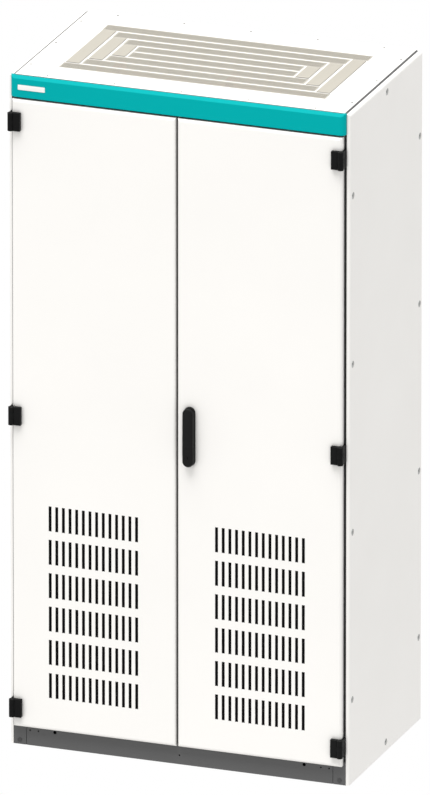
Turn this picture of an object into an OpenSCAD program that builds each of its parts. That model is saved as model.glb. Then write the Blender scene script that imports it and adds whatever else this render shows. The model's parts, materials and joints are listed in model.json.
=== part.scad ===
// Floor-standing cabinet drive: a ventilated two-door enclosure with its power and control gear inside.
// Millimetres. x runs to the right, y runs from the doors to the rear, z runs up from the floor.
// The origin is under the middle of the whole object, between the handle's front and the rear panel.

/* [Cabinet] */
// Width of the frame, without the side panels
cab_w = 1000; // [950:10:1100]
// Height from the floor to the roof
cab_h = 2000; // [1980:10:2020]
// Depth from the header's front face to the rear panel
cab_d = 610; // [600:5:660]
// How far each side panel stands out from the frame
side_out = 9.5; // [8:0.5:12]
// Height of the plinth
plinth_h = 68; // [64:1:72]
// Width of a frame post, and its depth
post_w = 45; // [42:1:46]
// Sheet thickness of doors, roof and side panels
sheet_t = 2; // [1.5:0.25:2.5]

/* [Doors] */
// Thickness of a door
door_t = 20; // [18:1:20]
// How far the doors stand in front of the header
door_proud = 5; // [4:0.5:6]
// Gap between the two doors
door_gap = 5.2; // [4:0.2:7]
// Gap between a door's outer edge and the frame's outer face
door_inset = 7; // [7:0.5:8]
// Height of the doors' lower edge above the floor
door_z0 = 60; // [56:1:62]
// Outer bend radius of folded edges
bend_r = 8; // [6:1:9]

/* [Air slots] */
// Width of one slot
slot_w = 9; // [6:0.5:9.5]
// Length of one slot
slot_l = 75; // [60:1:85]
// Spacing of the slot columns
slot_pitch_x = 20; // [19:0.5:20]
// Spacing of the slot rows
slot_pitch_z = 100; // [95:1:100]
// Number of slot columns in each door
slot_cols = 14; // [8:1:14]
// Number of slot rows in each door
slot_rows = 6; // [3:1:6]

/* [Handle] */
// Width of the swing handle
handle_w = 33; // [31:1:34]
// Length of the swing handle
handle_l = 175; // [170:1:180]
// How far the handle stands out from the door
handle_out = 25; // [25:1:28]
// Height of the handle's middle above the floor
handle_z = 994.5; // [900:0.5:1100]

/* [Header] */
// Height of the coloured header
header_h = 62; // [60:1:66]
// Radius of the header's vertical corners
header_r = 15; // [10:1:15]

/* [Hidden] */
$fn = 48;

// Depth planes, as y in the object's frame
half_w = cab_w / 2;
handle_front = door_proud + handle_out;
front_y = handle_front - (cab_d + handle_front) / 2;  // header's front face
rear_y = front_y + cab_d;
door_y = front_y - door_proud;                        // doors' front face
door_back_y = door_y + door_t;
plinth_y = front_y + 17;
panel_rear_y = rear_y - 3;
frame_y = front_y + 20;                               // frame's front face, where the seals land
frame_rear_y = rear_y - 7;
plate_y = frame_rear_y - post_w - 6;                  // mounting plate's front face

// Frame levels
beam_h = 45;
base_top_z = plinth_h + beam_h;
frame_top_z = cab_h - 7;
side_top_z = cab_h - 4;                               // top of the side panels
roof_top_z = cab_h - 1.5;                             // top of the roof plate
lintel_z = cab_h - 95;                                // underside of the front top beam
header_z = cab_h - header_h;
door_z1 = header_z - 6;
door_h = door_z1 - door_z0;
door_w = half_w - door_inset - door_gap / 2;
tube_t = 2.5;
gap = 0.3;

// Centre post between the doors
mullion_w = 32;
mullion_d = 30;

// Door inner parts
lip_w = 34;
channel_in = 22;                                      // closing-side channel, from the door's edge
channel_w = 32;
channel_back_y = door_back_y;
rod_x = door_gap / 2 + channel_in + channel_w / 2 - 0.1;
rod_w = 14;
rod_t = 5;
rod_y = channel_back_y + 6.2;
rod_travel = 14.14;
seal_t = 4.6;
mat_y = door_y + sheet_t;

// Hinges
hinge_z = [door_z0 + 58, (door_z0 + door_z1) / 2 - 3, door_z1 - 64];
hinge_h = 53;
knuckle_h = 17;
knuckle_r = 8.5;
pin_r = 3;
run_fit = 0.05;
pin_x = half_w - door_inset;
pin_y = door_y - 9;
hinge_x1 = half_w - 1;

// Handle
spindle_z = handle_z + handle_l / 2 - handle_w / 2;
spindle_r = 6;
base_t = 8;
lever_in_y = door_y - base_t - 0.4;
lift_y = lever_in_y - 5.6;
lift_angle = 20;
hub_r = 9;
lever_r = 100;                                        // from the spindle to the lever's lower end
cam_pin_r = 10;

// Slot field in a door: distance of its first column from the door's outer edge
slot_x0 = 113;
slot_z0 = 195;

// Side panel fasteners
side_screw_z = [250, 750, 1250, 1750];

// Drive module
drive_x = 40;
drive_w = 360;
drive_z = 700;
drive_h = 900;
drive_d = 330;
fan_size = 172;
fan_t = 40;
fan_y = plate_y - 165;
fan_x = [drive_x + 90, drive_x + drive_w - 90];

module box(x0, x1, y0, y1, z0, z1) {
    translate([x0, y0, z0]) cube([x1 - x0, y1 - y0, z1 - z0]);
}

// Both sides of the cabinet
module both_sides() {
    children();
    mirror([1, 0, 0]) children();
}

// Front and rear ends of the plinth and the frame
module both_ends(y_mid) {
    children();
    translate([0, 2 * y_mid, 0]) mirror([0, 1, 0]) children();
}

module rod_along_y(r, y0, y1) {
    translate([0, y0, 0]) rotate([-90, 0, 0]) cylinder(r = r, h = y1 - y0);
}

module rod_along_x(r, x0, x1) {
    translate([x0, 0, 0]) rotate([0, 90, 0]) cylinder(r = r, h = x1 - x0);
}

// Outline with its two front corners rounded: front at y = 0, centred on x = 0
module front_rounded(w, d, r) {
    translate([-w / 2 + r, 0]) square([w - 2 * r, d]);
    translate([-w / 2, r]) square([w, d - r]);
    for (s = [-1, 1]) translate([s * (w / 2 - r), r]) circle(r = r);
}

// Slab with bent front edges all round: front at y = 0, centred on x, standing on z = 0
module bent_slab(w, d, h, r) {
    intersection() {
        linear_extrude(h) front_rounded(w, d, r);
        translate([-w / 2, 0, h / 2]) rotate([90, 0, 90]) linear_extrude(w)
            rotate(-90) front_rounded_side(h, d, r);
    }
}

// The same outline for the side view: height along x, depth along y
module front_rounded_side(h, d, r) {
    rotate(90) union() {
        translate([0, -h / 2 + r]) square([d, h - 2 * r]);
        translate([r, -h / 2]) square([d - r, h]);
        for (s = [-1, 1]) translate([r, s * (h / 2 - r)]) circle(r = r);
    }
}

module stadium(w, l) {
    translate([-w / 2, -l / 2 + w / 2]) square([w, l - w]);
    for (s = [-1, 1]) translate([0, s * (l / 2 - w / 2)]) circle(r = w / 2);
}

// Square tube along z
module post(x0, y0, z0, z1) {
    difference() {
        box(x0, x0 + post_w, y0, y0 + post_w, z0, z1);
        box(x0 + tube_t, x0 + post_w - tube_t, y0 + tube_t, y0 + post_w - tube_t,
            z0 - 1, z1 - tube_t);
    }
}

// Tube along x or y, given by its outer box
module beam(x0, x1, y0, y1, z0, z1, along_x) {
    e = along_x ? [1, -tube_t, -tube_t] : [-tube_t, 1, -tube_t];
    difference() {
        box(x0, x1, y0, y1, z0, z1);
        box(x0 - e[0], x1 + e[0], y0 - e[1], y1 + e[1], z0 - e[2], z1 + e[2]);
    }
}

// ---- Plinth ----

plinth_mid_y = (plinth_y + panel_rear_y) / 2;
corner_w = 38;
corner_d = 80;
cover_seam = 1.5;
anchor_x = half_w - 22;
anchor_y = plinth_y + 43;
anchor_r = 7;

module plinth_corner() {
    difference() {
        box(half_w - corner_w, half_w, plinth_y, plinth_y + corner_d, 0, plinth_h);
        box(half_w - corner_w - 1, half_w - 3, plinth_y + 3, plinth_y + corner_d - 3, 4, plinth_h - 3);
        translate([anchor_x, anchor_y, -1]) cylinder(r = anchor_r, h = 6);
        translate([half_w - 19, 0, 13]) rod_along_y(4.2, plinth_y - 1, plinth_y + 4);
    }
}

module plinth_corners() {
    color("dimgray") both_sides() both_ends(plinth_mid_y) plinth_corner();
}

module plinth_hole(x, z, r) {
    translate([x, 0, z]) rod_along_y(r, plinth_y - 1, plinth_y + 6);
}

module plinth_cover(detailed) {
    w = cab_w - 2 * (corner_w + cover_seam);
    difference() {
        union() {
            box(-w / 2, w / 2, plinth_y, plinth_y + 2, 0, plinth_h);
            box(-w / 2, w / 2, plinth_y + 2, plinth_y + 17, plinth_h - 2, plinth_h);
            both_sides() {
                box(w / 2 - 20, w / 2, plinth_y + 2, plinth_y + 5, 24, 52);
                box(w / 2, w / 2 + 18, plinth_y + 3.2, plinth_y + 5, 24, 52);
            }
        }
        if (detailed) {
            for (hx = [-450, -425, 425, 450]) plinth_hole(hx, 45, 2.5);
            for (hx = [-375, 375]) plinth_hole(hx, 47, 5);
            plinth_hole(0, 27, 2.5);
        }
    }
}

module plinth_covers() {
    color("dimgray") {
        plinth_cover(true);
        translate([0, 2 * plinth_mid_y, 0]) mirror([0, 1, 0]) plinth_cover(false);
    }
}

module plinth_side_rails() {
    color("dimgray") both_sides() difference() {
        box(half_w - 30, half_w, plinth_y + corner_d, 2 * plinth_mid_y - plinth_y - corner_d, 0, plinth_h);
        box(half_w - 31, half_w - 3, plinth_y, 2 * plinth_mid_y - plinth_y, 3, plinth_h - 3);
    }
}

// ---- Frame ----

module frame_posts() {
    color("gainsboro") both_sides() {
        post(half_w - post_w, frame_y, plinth_h, frame_top_z);
        post(half_w - post_w, frame_rear_y - post_w, plinth_h, frame_top_z);
    }
}

module centre_post() {
    color("gainsboro") difference() {
        box(-mullion_w / 2, mullion_w / 2, frame_y, frame_y + mullion_d, base_top_z, lintel_z);
        box(-mullion_w / 2 + 2, mullion_w / 2 - 2, frame_y + 2, frame_y + mullion_d + 1,
            base_top_z + 2, lintel_z - 2);
    }
}

module frame_beams() {
    xi = half_w - post_w;
    y1 = frame_y + post_w;
    y2 = frame_rear_y - post_w;
    top_z0 = frame_top_z - beam_h;
    color("gainsboro") {
        beam(-xi, xi, frame_y, y1, plinth_h, base_top_z, true);
        beam(-xi, xi, frame_y, y1, lintel_z, frame_top_z, true);
        beam(-xi, xi, y2, frame_rear_y, plinth_h, base_top_z, true);
        beam(-xi, xi, y2, frame_rear_y, top_z0, frame_top_z, true);
        both_sides() {
            beam(xi, half_w, y1, y2, plinth_h, base_top_z, false);
            beam(xi, half_w, y1, y2, top_z0, frame_top_z, false);
        }
    }
}

// ---- Side, rear and roof panels ----

fastener_r = 10;
panel_lip = 2;                                        // side panel's top edge, in over the frame
side_mid_y = front_y + 320;

// Fastener places on a side panel, as [y, z]
side_fasteners = concat(
    [for (z = side_screw_z) [front_y + 43.5, z]],
    [for (z = side_screw_z) [front_y + 590, z]],
    [[side_mid_y, cab_h - 32], [side_mid_y, 28]]);

module side_outline(out, y0, y1, r) {
    translate([half_w, y0]) square([out - r, y1 - y0]);
    translate([half_w, y0 + r]) square([out, y1 - y0 - r]);
    translate([half_w + out - r, y0 + r]) circle(r = r);
}

module side_section(out, z1, r) {
    translate([half_w, 0]) square([out, z1 - r]);
    translate([half_w, 0]) square([out - r, z1]);
    translate([half_w + out - r, z1 - r]) circle(r = r);
}

// Slab along the frame's right side with its front and top edges bent, standing on z = 0
module side_slab(out, y0, y1, z1, r) {
    intersection() {
        linear_extrude(z1) side_outline(out, y0, y1, r);
        translate([0, y1, 0]) rotate([90, 0, 0]) linear_extrude(y1 - y0) side_section(out, z1, r);
        box(half_w, half_w + out, y0, y1, 0, z1);
    }
}

module side_panel() {
    inside = 1;                                       // the hollow starts this far inside the frame's face
    difference() {
        union() {
            side_slab(side_out, plinth_y, panel_rear_y, side_top_z, bend_r);
            box(half_w - panel_lip, half_w + 2, plinth_y, panel_rear_y, side_top_z - sheet_t, side_top_z);
        }
        translate([-inside, 0, sheet_t])
            side_slab(side_out - sheet_t + inside, plinth_y + sheet_t, panel_rear_y - sheet_t,
                side_top_z - 2 * sheet_t, bend_r - sheet_t);
        for (p = side_fasteners) translate([0, p[0], p[1]])
            rod_along_x(fastener_r, half_w, half_w + side_out + 1);
    }
}

module side_panel_left() {
    color("whitesmoke") mirror([1, 0, 0]) side_panel();
}

module side_panel_right() {
    color("whitesmoke") side_panel();
}

rear_screw_z = [140, 620, 1100, 1580, 1930];

module rear_panel() {
    w = half_w - 1;
    color("whitesmoke") difference() {
        box(-w, w, frame_rear_y, rear_y, plinth_h, frame_top_z);
        box(-w + sheet_t, w - sheet_t, frame_rear_y - 1, rear_y - sheet_t,
            plinth_h + sheet_t, frame_top_z - sheet_t);
        for (s = [-1, 1], z = rear_screw_z) translate([s * (w - 21), 0, z])
            rod_along_y(5, frame_rear_y, rear_y + 1);
    }
}

// Round recessed fastener along +x with a hexagon socket
module side_fastener() {
    difference() {
        rod_along_x(fastener_r - 0.2, 0, side_out - 1.5);
        translate([side_out - 4, 0, 0]) rotate([0, 90, 0]) cylinder(r = 5, h = 5, $fn = 6);
    }
}

module panel_fasteners() {
    w = half_w - 1;
    color("silver") {
        both_sides() for (p = side_fasteners) translate([half_w, p[0], p[1]]) side_fastener();
        for (s = [-1, 1], z = rear_screw_z) translate([s * (w - 21), 0, z]) difference() {
            rod_along_y(4.8, frame_rear_y, rear_y - 0.6);
            translate([0, rear_y - 3, 0]) rotate([-90, 0, 0]) cylinder(r = 2.6, h = 4, $fn = 6);
        }
    }
}

roof_half = half_w - 8;
roof_y0 = frame_y;
roof_mid_y = front_y + 315;
strip_w = 40;
ring_step = 50;
ring_half_x = 398;
ring_half_y = 175;
ring_count = 4;

// Long air strip of one ring: both sides of the middle
module long_strips(shrink, z0, z1) {
    for (k = [0:ring_count - 1], s = [-1, 1]) {
        hx = ring_half_x - k * ring_step - shrink;
        cy = roof_mid_y + s * (ring_half_y - k * ring_step);
        box(-hx, hx, cy - strip_w / 2 + shrink, cy + strip_w / 2 - shrink, z0, z1);
    }
}

// Cross strips that close the three outer rings at their ends
module cross_strips(shrink, z0, z1) {
    for (k = [0:ring_count - 2], s = [-1, 1]) {
        cx = s * (ring_half_x - 23.5 - k * ring_step);
        hy = ring_half_y - 26 - k * ring_step;
        box(cx - strip_w / 2 + shrink, cx + strip_w / 2 - shrink,
            roof_mid_y - hy + shrink, roof_mid_y + hy - shrink, z0, z1);
    }
}

// Roof screw places as [x, y]
roof_screws = concat(
    [for (x = [-400:200:400], d = [35, 597]) [x, front_y + d]],
    [for (s = [-1, 1], d = [115, 315, 515]) [s * 480, front_y + d]]);

module roof_plate() {
    rim = 8;
    color("white") difference() {
        box(-roof_half, roof_half, roof_y0, rear_y, frame_top_z, roof_top_z);
        box(-roof_half + rim, roof_half - rim, roof_y0 + rim, rear_y - rim, frame_top_z - 1, roof_top_z - sheet_t);
        long_strips(0, frame_top_z, cab_h);
        cross_strips(0, frame_top_z, cab_h);
        for (p = roof_screws) translate([p[0], p[1], frame_top_z - 1]) cylinder(r = 3.6, h = 9);
    }
}

// Windows that let the air out through a long strip
module strip_windows() {
    win_l = 42;
    win_w = 28;
    for (k = [0:ring_count - 1], s = [-1, 1]) {
        n = 15 - 2 * k;
        cy = roof_mid_y + s * (ring_half_y - k * ring_step);
        for (i = [0:n - 1])
            box((i - (n - 1) / 2) * ring_step - win_l / 2, (i - (n - 1) / 2) * ring_step + win_l / 2,
                cy - win_w / 2, cy + win_w / 2, roof_top_z - sheet_t - 1, cab_h);
    }
}

module roof_grilles() {
    color("silver") {
        difference() {
            long_strips(0.2, roof_top_z - sheet_t, roof_top_z - 0.3);
            strip_windows();
        }
        cross_strips(0.2, roof_top_z - sheet_t, cab_h);
    }
}

module cover_screws() {
    color("dimgray") {
        for (p = roof_screws) translate([p[0], p[1], frame_top_z]) cylinder(r = 3.4, h = 4.7);
        both_sides() both_ends(plinth_mid_y) translate([half_w - 19, 0, 13]) {
            rod_along_y(4, plinth_y, plinth_y + 4);
            rod_along_y(6.5, plinth_y - 1.6, plinth_y);
        }
    }
}

module header_body(inset) {
    w = cab_w - 2 * inset;
    d = 17 + (inset > 0 ? 5 : 0);
    ch = 7.5 - inset * 0.41;
    intersection() {
        translate([0, front_y + inset, header_z + inset]) linear_extrude(header_h - 2 * inset)
            front_rounded(w, d - inset, header_r - inset);
        translate([-w / 2, front_y + inset, header_z + inset]) rotate([90, 0, 90]) linear_extrude(w)
            polygon([[0, 0], [d, 0], [d, header_h - 2 * inset], [ch, header_h - 2 * inset],
                [0, header_h - 2 * inset - ch]]);
    }
}

module header() {
    color("darkcyan") {
        difference() {
            header_body(0);
            header_body(sheet_t);
            box(-half_w + 12, half_w - 12, front_y + 12, frame_y, cab_h - 3, cab_h + 1);
        }
        for (x = [-440, -150, 150, 440])
            box(x - 10, x + 10, front_y + sheet_t - 0.5, frame_y, header_z + 14, header_z + 40);
    }
}

// Rectangle with round corners, centred
module round_rect(w, h, r) {
    square([w - 2 * r, h], center = true);
    square([w, h - 2 * r], center = true);
    for (sx = [-1, 1], sy = [-1, 1]) translate([sx * (w / 2 - r), sy * (h / 2 - r)]) circle(r = r);
}

// ---- Hinges ----

// Fixed half, on the right side
module hinge_base() {
    difference() {
        union() {
            for (s = [-1, 1]) {
                z0 = s < 0 ? -hinge_h / 2 : knuckle_h / 2 + 0.5;
                translate([pin_x, pin_y, z0]) cylinder(r = knuckle_r, h = (hinge_h - knuckle_h) / 2 - 0.5);
                box(pin_x + 1.5, hinge_x1, pin_y, door_y + 4, z0, z0 + (hinge_h - knuckle_h) / 2 - 0.5);
            }
            box(pin_x + 1.5, hinge_x1, door_y + 1, frame_y - 3.4, -hinge_h / 2, hinge_h / 2);
            box(pin_x - 16, hinge_x1, frame_y - 4, frame_y, -hinge_h / 2, hinge_h / 2);
        }
        translate([pin_x, pin_y, -hinge_h]) cylinder(r = pin_r + run_fit, h = 2 * hinge_h);
    }
}

module hinge_bases() {
    color("#202020") both_sides() for (z = hinge_z) translate([0, 0, z]) hinge_base();
}

module hinge_pins() {
    color("silver") both_sides() for (z = hinge_z) translate([pin_x, pin_y, z - hinge_h / 2])
        cylinder(r = pin_r, h = hinge_h);
}

// Moving half, on the right door
module hinge_leaf() {
    difference() {
        union() {
            translate([pin_x, pin_y, -knuckle_h / 2]) cylinder(r = knuckle_r, h = knuckle_h);
            difference() {
                box(pin_x - 28, pin_x - 1, door_y - 12, door_y, -hinge_h / 2, hinge_h / 2);
                for (z = [-hinge_h / 2 - 1, knuckle_h / 2])
                    translate([pin_x, pin_y, z]) cylinder(r = knuckle_r + 0.5, h = (hinge_h - knuckle_h) / 2 + 1);
            }
        }
        translate([pin_x, pin_y, -hinge_h]) cylinder(r = pin_r + run_fit, h = 2 * hinge_h);
    }
}

module hinge_leaves() {
    for (z = hinge_z) translate([0, 0, z]) hinge_leaf();
}

module hinge_leaves_left() {
    color("#202020") mirror([1, 0, 0]) hinge_leaves();
}

module hinge_leaves_right() {
    color("#202020") hinge_leaves();
}

// ---- Doors, drawn as the right door: the closing edge is near x = 0 ----

module door_channel(x0, w) {
    z0 = door_z0 + lip_w + 16;
    z1 = door_z1 - lip_w - 6;
    difference() {
        box(x0, x0 + w, door_y + sheet_t - 0.5, channel_back_y, z0, z1);
        box(x0 + 2, x0 + w - 2, door_y + sheet_t, channel_back_y - 2, z0 - 1, z1 + 1);
    }
}

module door_shell(spindle_hole) {
    x0 = door_gap / 2;
    mid_x = x0 + door_w / 2;
    difference() {
        union() {
            difference() {
                translate([mid_x, door_y, door_z0]) bent_slab(door_w, door_t, door_h, bend_r);
                translate([mid_x, door_y + sheet_t, door_z0 + sheet_t])
                    bent_slab(door_w - 2 * sheet_t, door_t - 2 * sheet_t, door_h - 2 * sheet_t,
                        bend_r - sheet_t);
                box(x0 + lip_w, x0 + door_w - lip_w, door_y + 8, door_back_y + 1,
                    door_z0 + lip_w, door_z1 - lip_w);
            }
            door_channel(x0 + channel_in, channel_w);
            door_channel(x0 + door_w - 88, 28);
        }
        for (i = [0:slot_cols - 1], k = [0:slot_rows - 1])
            translate([half_w - door_inset - slot_x0 - i * slot_pitch_x - slot_w / 2, 0,
                slot_z0 + k * slot_pitch_z - slot_l / 2])
                box(0, slot_w, door_y - 1, door_y + sheet_t + 1, 0, slot_l);
        if (spindle_hole)
            box(rod_x - 8, rod_x + 8, door_y - 1, channel_back_y + 1, spindle_z - 8, spindle_z + 8);
    }
}

module door_seal() {
    x0 = door_gap / 2;
    difference() {
        box(x0 + 2.4, x0 + door_w - 21, door_back_y, door_back_y + seal_t, door_z0 + 10, door_z1 - 10);
        box(x0 + 12.4, x0 + door_w - 31, door_back_y - 1, door_back_y + seal_t + 1,
            door_z0 + 20, door_z1 - 20);
    }
}

module filter_mat() {
    x1 = half_w - door_inset - slot_x0 + 20;
    box(x1 - 300, x1, mat_y, mat_y + 8, slot_z0 - 55, slot_z0 + 555);
}

module door_left() {
    color("white") mirror([1, 0, 0]) door_shell(false);
}

module door_seal_left() {
    color("#303030") mirror([1, 0, 0]) door_seal();
}

module filter_mat_left() {
    color("#404040") mirror([1, 0, 0]) filter_mat();
}

module door_right() {
    color("white") door_shell(true);
}

module door_seal_right() {
    color("#303030") door_seal();
}

module filter_mat_right() {
    color("#404040") filter_mat();
}

// Saddle that a flat rod slides through
module rod_guide(z) {
    translate([rod_x, 0, z]) difference() {
        box(-15, 15, channel_back_y, rod_y + rod_t + 4, -10, 10);
        box(-rod_w / 2 - gap, rod_w / 2 + gap, rod_y - gap, rod_y + rod_t + gap, -11, 11);
    }
}

guide_top_z = [lintel_z - 45, lintel_z - 175];
guide_low_z = [base_top_z + 45, base_top_z + 175];
rod_tip_top = lintel_z - 7;
rod_tip_low = base_top_z + 7;

module bolt_guides() {
    color("silver") mirror([1, 0, 0]) for (z = concat(guide_top_z, guide_low_z)) rod_guide(z);
}

module rod_guides() {
    more_z = [handle_z - 500, handle_z - 200, handle_z + 320, handle_z + 560];
    color("silver") for (z = concat([guide_low_z[0]], more_z, [guide_top_z[0]])) rod_guide(z);
}

// Flat bolt with a thumb knob, between two heights
module bolt(z0, z1, knob_z) {
    mirror([1, 0, 0]) translate([rod_x, 0, 0]) {
        box(-rod_w / 2, rod_w / 2, rod_y, rod_y + rod_t, z0, z1);
        translate([0, 0, knob_z]) {
            rod_along_y(4, rod_y + rod_t - 1, rod_y + rod_t + 12);
            rod_along_y(8, rod_y + rod_t + 12, rod_y + rod_t + 20);
        }
    }
}

module bolt_upper() {
    color("silver") bolt(lintel_z - 230, rod_tip_top, lintel_z - 110);
}

module bolt_lower() {
    color("silver") bolt(rod_tip_low, base_top_z + 230, base_top_z + 110);
}

// Stops on the frame that the rods and bolts close against
module rod_keepers() {
    keeper_y = rod_y + rod_t + 3;
    color("silver") both_sides() translate([rod_x, 0, 0]) {
        box(-13, 13, keeper_y, keeper_y + 3, lintel_z - 32, lintel_z);
        box(-13, 13, keeper_y, keeper_y + 3, base_top_z, base_top_z + 32);
    }
}

// ---- Lock and handle ----

module lock_case() {
    h = 34;
    w = 19.4;
    color("silver") translate([rod_x, 0, spindle_z]) difference() {
        box(-w, w, channel_back_y, rod_y + rod_t + 3, -h, h);
        box(-w + 2, w - 2, channel_back_y + 1.5, rod_y + rod_t + 1.2, -h + 2, h - 2);
        box(-rod_w / 2 - 0.6, rod_w / 2 + 0.6, rod_y - 0.6, rod_y + rod_t + 0.6, -h - 1, h + 1);
        rod_along_y(spindle_r + run_fit, channel_back_y - 1, channel_back_y + 2);
    }
}

// Rod above the cam; the one below is this one turned half a turn about the spindle
module lock_rod(tip) {
    slot_h = 4 + 1.4;
    pin_z = cam_pin_r * sin(45);
    difference() {
        union() {
            box(-rod_w / 2, rod_w / 2, rod_y, rod_y + rod_t, 30, tip);
            box(-rod_w / 2, -0.6, rod_y, rod_y + rod_t, pin_z + 4, 31);
            box(-15.5, -0.6, rod_y, rod_y + rod_t, pin_z - 6, pin_z + 6);
        }
        box(-13.4, -4.6, rod_y - 1, rod_y + rod_t + 1, pin_z - slot_h / 2, pin_z + slot_h / 2);
    }
}

module lock_rod_upper() {
    color("silver") translate([rod_x, 0, spindle_z]) lock_rod(rod_tip_top - spindle_z);
}

module lock_rod_lower() {
    color("silver") translate([rod_x, 0, spindle_z]) rotate([0, 180, 0]) lock_rod(spindle_z - rod_tip_low);
}

module handle_base() {
    color("#202020") translate([rod_x, door_y, 0]) difference() {
        union() {
            translate([0, 0, handle_z]) rotate([90, 0, 0]) linear_extrude(base_t) stadium(handle_w, handle_l);
            difference() {
                translate([0, 0, handle_z]) rotate([90, 0, 0]) linear_extrude(handle_out - 3)
                    stadium(handle_w - 1.5, handle_l - 1.5);
                translate([0, 0, spindle_z]) rod_along_y(lever_r + 0.6, -handle_out - 1, -base_t);
                box(-handle_w, handle_w, -handle_out - 1, -base_t, spindle_z - 60, spindle_z + 60);
            }
        }
        translate([0, 0, spindle_z]) rod_along_y(spindle_r + run_fit, -base_t - 1, 1);
        translate([0, 0, handle_z - handle_l / 2 + 29]) rod_along_y(8 + run_fit, -handle_out, -4);
    }
}

module handle_spindle() {
    color("silver") translate([rod_x, 0, spindle_z]) {
        rod_along_y(spindle_r, lever_in_y + 0.2, channel_back_y + 4);
        rod_along_y(hub_r, lever_in_y - 9, lever_in_y + 0.2);
        translate([0, lift_y, 0]) rod_along_x(2, -15, 15);
        rod_along_y(13, channel_back_y + 1.8, rod_y - 0.6);
        for (a = [135, -45]) translate([cam_pin_r * cos(a), 0, cam_pin_r * sin(a)])
            rod_along_y(2, rod_y - 0.7, rod_y + rod_t + 0.3);
    }
}

// Lever, with its origin on the spindle's axis
module lever_outline() {
    w = handle_w - 2;
    intersection() {
        union() {
            circle(r = w / 2);
            translate([-w / 2, -lever_r - 5]) square([w, lever_r + 5]);
        }
        circle(r = lever_r, $fn = 128);
    }
}

module handle_lever() {
    h = handle_out - base_t - 0.4;
    arm = lever_in_y - lift_y;
    // The heel is cut back so that it clears the base when the lever is lifted
    heel_y = -arm + (arm - sin(lift_angle) * handle_w / 2) / cos(lift_angle) - 0.3;
    color("#202020") translate([rod_x, lever_in_y, spindle_z]) difference() {
        intersection() {
            rotate([90, 0, 0]) linear_extrude(h) lever_outline();
            translate([-handle_w, 0, 0]) rotate([90, 0, 90]) linear_extrude(2 * handle_w)
                polygon([[0, -lever_r - 1], [-h, -lever_r - 1], [-h, -lever_r + 38], [-h + 2.4, 10],
                    [-h + 4.5, handle_w / 2], [heel_y, handle_w / 2], [0, 0]]);
        }
        box(-hub_r - 0.4, hub_r + 0.4, -12.4, 1, -hub_r - 4, hub_r + 8);
        translate([0, -arm, 0]) rod_along_x(2 + run_fit, -handle_w, handle_w);
    }
}

module lock_cylinder() {
    color("silver") translate([rod_x, door_y, handle_z - handle_l / 2 + 29]) difference() {
        rod_along_y(8, -handle_out + 2.6, -4.6);
        box(-0.9, 0.9, -handle_out, -handle_out + 8, -4.5, 4.5);
    }
}

// ---- Inside: plates, rails and ducts ----

gland_r = 31.5;
gland_x = [120, 240, 360];
gland_y = front_y + 200;

module gland_plate() {
    color("silver") difference() {
        box(-half_w + post_w + 3, half_w - post_w - 3, frame_y + mullion_d + 1, frame_rear_y - 20,
            base_top_z, base_top_z + 3);
        for (x = gland_x) translate([x, gland_y, base_top_z - 1]) cylinder(r = gland_r, h = 5);
    }
}

module cable_rail() {
    y0 = plate_y - 110;
    color("silver") {
        difference() {
            box(20, 440, y0, y0 + 30, 190, 220);
            box(19, 441, y0 + 2, y0 + 28, 192, 218);
            box(19, 441, y0 - 1, y0 + 3, 199, 211);
        }
        for (x = [30, 410]) box(x, x + 20, y0 + 5, y0 + 25, base_top_z + 3, 190);
    }
}

plate_z0 = 150;
plate_z1 = 1890;

module mounting_plate() {
    w = half_w - 20;
    color("silver") {
        box(-w, w, plate_y, plate_y + 3, plate_z0, plate_z1);
        both_sides() box(w - 20, w, plate_y + 3, plate_y + 6, plate_z0, plate_z1);
    }
}

// Top-hat rail along x
module din_rail(x0, x1, z) {
    translate([x0, plate_y, z]) {
        box(0, x1 - x0, -1, 0, -13.5, 13.5);
        for (s = [-1, 1]) {
            box(0, x1 - x0, -7.5, 0, s * 13 - 0.5, s * 13 + 0.5);
            box(0, x1 - x0, -7.5, -6.5, s * 15.25 - 2.25, s * 15.25 + 2.25);
        }
    }
}

rail_top_z = 1720;
rail_low_z = 600;

module din_rails() {
    color("silver") {
        din_rail(40, 440, rail_top_z);
        din_rail(40, 440, rail_low_z);
    }
}

// Slotted wiring duct with its lid, running along z or x
module duct(len) {
    w = 40;
    d = 60;
    difference() {
        box(-w / 2, w / 2, -d, 0, 0, len);
        box(-w / 2 + 1.5, w / 2 - 1.5, -d + 2, -1.5, -1, len + 1);
        for (i = [0:floor(len / 25) - 2]) box(-w, w, -d + 12, -12, 20 + i * 25, 28 + i * 25);
    }
}

module wiring_ducts() {
    color("lightslategray") {
        translate([0, plate_y, 300]) duct(1440);
        translate([40, plate_y, 655]) rotate([0, 90, 0]) duct(390);
        translate([-440, plate_y, 1040]) rotate([0, 90, 0]) duct(400);
    }
}

bar_z = [1790, 1825, 1860];

module busbars() {
    color("peru") {
        for (z = bar_z) box(-430, 430, plate_y - 50, plate_y - 42, z - 12, z + 12);
        box(-430, 430, plate_y - 40, plate_y - 34, 172, 202);
    }
}

module busbar_supports() {
    color("firebrick") {
        for (x = [-380, -40, 300]) difference() {
            box(x, x + 24, plate_y - 58, plate_y, bar_z[0] - 26, bar_z[2] + 22);
            for (z = bar_z) box(x - 1, x + 25, plate_y - 50, plate_y - 42, z - 12, z + 12);
        }
        for (x = [-400, 376]) box(x, x + 24, plate_y - 34, plate_y, 172, 202);
    }
}

// ---- Inside: power gear ----

switch_x = -230;
switch_z = 1600;
switch_front_y = plate_y - 120;

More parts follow.
